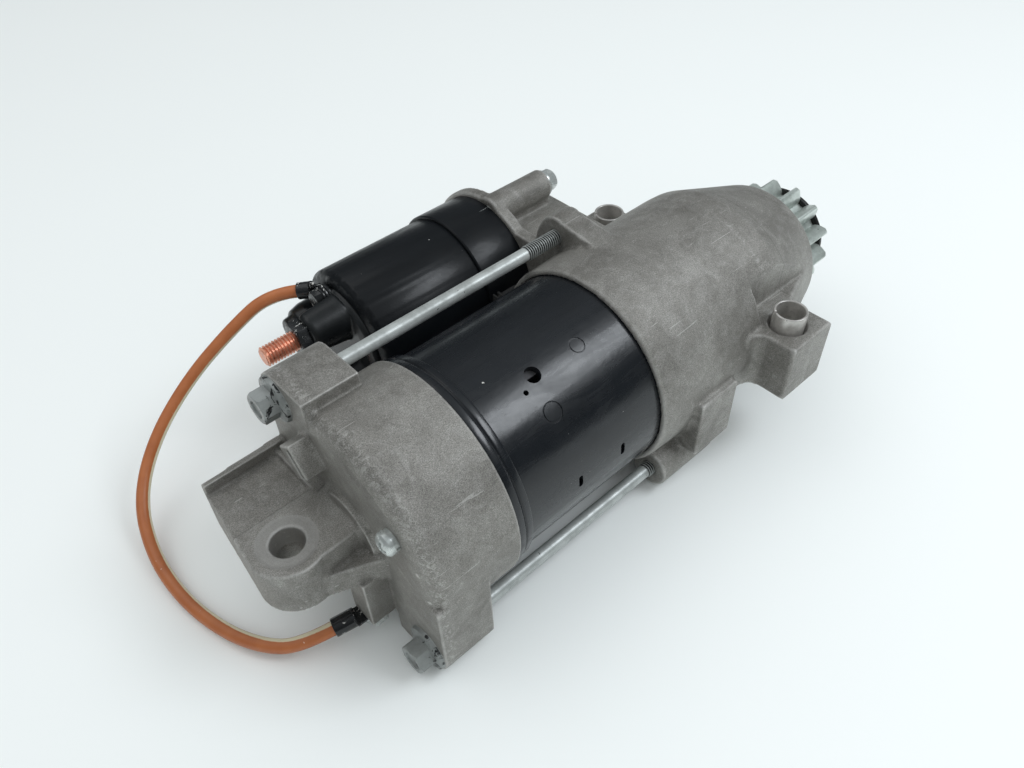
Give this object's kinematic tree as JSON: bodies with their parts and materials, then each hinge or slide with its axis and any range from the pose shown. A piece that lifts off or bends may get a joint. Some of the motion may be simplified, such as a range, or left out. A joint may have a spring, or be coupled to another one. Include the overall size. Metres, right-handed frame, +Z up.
{
  "type": "starter motor",
  "caption": "Gear-reduction starter motor: cast nose and rear cover, painted yoke and side solenoid, sliding pinion, long through-bolts, rear lug and looped ground lead",
  "frame": {"origin": "on the motor shaft axis, midway between the axes of the two mounting bolts", "axes": "+X along the shaft towards the pinion, +Z up along the mounting bolts towards the face they pull against, +Y towards the solenoid"},
  "size_m": [0.2834, 0.1632, 0.086],
  "materials": {
    "cast_aluminium": "as-cast and blasted, machined on the mounting faces",
    "black_paint": "gloss black paint over steel",
    "painted_fastener": "gloss black sealing paint over plated metal, chipped",
    "zinc_plate": "zinc plated steel",
    "sleeve_steel": "rolled spring steel",
    "copper": "bare copper",
    "cap_plastic": "moulded black thermoset",
    "gear_steel": "machined and hardened steel",
    "dark_steel": "dark oxide steel",
    "spring_steel": "spring wire",
    "rubber": "moulded rubber",
    "lead_insulation": "brown insulation with a cream stripe",
    "winding_wire": "enamelled copper",
    "lamination_steel": "stacked steel laminations",
    "ferrite": "sintered ferrite",
    "carbon": "copper-graphite",
    "moulded_plastic": "glass-filled nylon",
    "bronze": "sintered bronze"
  },
  "bodies": {
    "housing": {"battery_stud": "copper", "brush_holder": "moulded_plastic", "brush_springs": "spring_steel", "brushes": "carbon", "centre_bracket": "cast_aluminium", "centre_bush": "bronze", "cover_screw_washers": "zinc_plate", "cover_screws": "zinc_plate", "drive_housing": "cast_aluminium", "front_bearing": "gear_steel", "ground_lead": "lead_insulation", "ground_screw": "zinc_plate", "lead_grommet": "rubber", "lead_ring_front": "painted_fastener", "lead_ring_rear": "painted_fastener", "lever_packing": "rubber", "lever_pin": "gear_steel", "magnets": "ferrite", "motor_end_plate": "dark_steel", "motor_stud": "copper", "mount_sleeves": "sleeve_steel", "nose_seal": "rubber", "plunger_spring": "spring_steel", "rear_bush": "bronze", "rear_cover": "cast_aluminium", "ring_gear": "gear_steel", "signal_screw": "painted_fastener", "solenoid_bobbin": "moulded_plastic", "solenoid_bolts": "zinc_plate", "solenoid_can": "black_paint", "solenoid_cap": "cap_plastic", "solenoid_coil": "winding_wire", "solenoid_core": "gear_steel", "solenoid_shell": "black_paint", "stud_nuts": "painted_fastener", "through_bolts": "zinc_plate", "yoke": "black_paint", "yoke_end_ring": "black_paint"},
    "armature": {"armature_shaft": "gear_steel", "armature_core": "lamination_steel", "armature_windings": "winding_wire", "commutator": "copper", "sun_gear": "gear_steel"},
    "carrier": {"drive_shaft": "gear_steel", "planet_pins": "gear_steel"},
    "planet_1": {"planet_gear_1": "gear_steel"},
    "planet_2": {"planet_gear_2": "gear_steel"},
    "planet_3": {"planet_gear_3": "gear_steel"},
    "plunger_body": {"plunger": "gear_steel", "plunger_hook": "gear_steel", "spring_seat": "dark_steel"},
    "lever": {"shift_lever": "moulded_plastic"},
    "clutch": {"clutch_sleeve": "gear_steel", "clutch_outer": "gear_steel", "clutch_rollers": "gear_steel", "clutch_cover": "dark_steel"},
    "pinion_body": {"pinion": "gear_steel", "pinion_cap": "dark_steel"},
    "contact": {"contact_disc": "copper", "push_rod": "moulded_plastic"}
  },
  "joints": [
    {"name": "armature_spin", "type": "hinge", "parent": "housing", "child": "armature", "pos_m": [-0.1, 0, 0], "axis": [1, 0, 0], "continuous": true},
    {"name": "carrier_spin", "type": "hinge", "parent": "housing", "child": "carrier", "pos_m": [-0.045, 0, 0], "axis": [1, 0, 0], "continuous": true},
    {"name": "planet_1_spin", "type": "hinge", "parent": "carrier", "child": "planet_1", "pos_m": [-0.0525, 0.01688, 0], "axis": [1, 0, 0], "continuous": true},
    {"name": "planet_2_spin", "type": "hinge", "parent": "carrier", "child": "planet_2", "pos_m": [-0.0525, -0.00844, 0.01461], "axis": [1, 0, 0], "continuous": true},
    {"name": "planet_3_spin", "type": "hinge", "parent": "carrier", "child": "planet_3", "pos_m": [-0.0525, -0.00844, -0.01461], "axis": [1, 0, 0], "continuous": true},
    {"name": "plunger_pull", "type": "slide", "parent": "housing", "child": "plunger_body", "axis": [-1, 0, 0], "range_m": [0, 0.01], "stiffness_N_per_m": 800, "springref_m": -0.01, "deforming": ["plunger_spring"]},
    {"name": "lever_swing", "type": "hinge", "parent": "housing", "child": "lever", "pos_m": [-0.02647, 0.0431, 0], "axis": [0, 0, 1], "range_deg": [0, 17.69]},
    {"name": "clutch_slide", "type": "slide", "parent": "carrier", "child": "clutch", "axis": [1, 0, 0], "range_m": [0, 0.01331]},
    {"name": "pinion_overrun", "type": "hinge", "parent": "clutch", "child": "pinion_body", "pos_m": [0.05, 0, 0], "axis": [1, 0, 0], "continuous": true},
    {"name": "contact_close", "type": "slide", "parent": "housing", "child": "contact", "axis": [-1, 0, 0], "range_m": [0, 0.00241]}
  ],
  "couplings": [
    {"joint": "carrier_spin", "follows": "armature_spin", "ratio": 0.22222},
    {"joint": "planet_1_spin", "follows": "armature_spin", "ratio": -0.62222},
    {"joint": "planet_2_spin", "follows": "armature_spin", "ratio": -0.62222},
    {"joint": "planet_3_spin", "follows": "armature_spin", "ratio": -0.62222},
    {"joint": "lever_swing", "follows": "plunger_pull", "rad_per_m": 30.864},
    {"joint": "clutch_slide", "follows": "plunger_pull", "ratio": 1.3302},
    {"joint": "contact_close", "follows": "plunger_pull", "ratio": 0.24}
  ]
}
